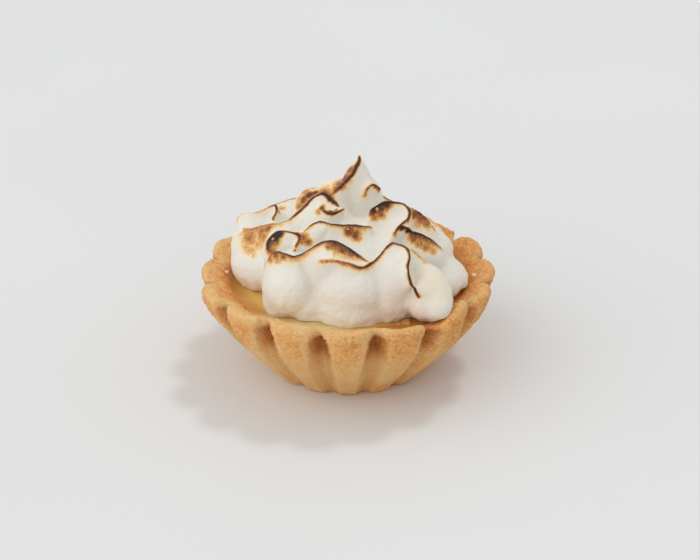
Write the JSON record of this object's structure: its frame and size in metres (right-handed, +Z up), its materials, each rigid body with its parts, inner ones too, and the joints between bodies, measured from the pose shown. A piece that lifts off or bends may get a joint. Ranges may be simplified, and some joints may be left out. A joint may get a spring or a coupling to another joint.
{
  "type": "lemon meringue tartlet",
  "caption": "Small fluted shortcrust tartlet filled with lemon curd under a free-form mound of torched meringue with folded ridges and a pointed peak.",
  "frame": {"origin": "middle of the flat base, at the surface the tartlet rests on", "axes": "+Z up; -Y towards the side shown in the picture; +X to that view's right"},
  "size_m": [0.0698, 0.0697, 0.049],
  "materials": {
    "baked_shortcrust": "matte, crumbly, golden brown baked pastry",
    "lemon_curd": "soft glossy set curd",
    "torched_meringue": "satin white foam, scorched brown along its ridges"
  },
  "bodies": {
    "root": {"crust": "baked_shortcrust", "lemon_curd": "lemon_curd", "meringue": "torched_meringue"}
  },
  "joints": []
}
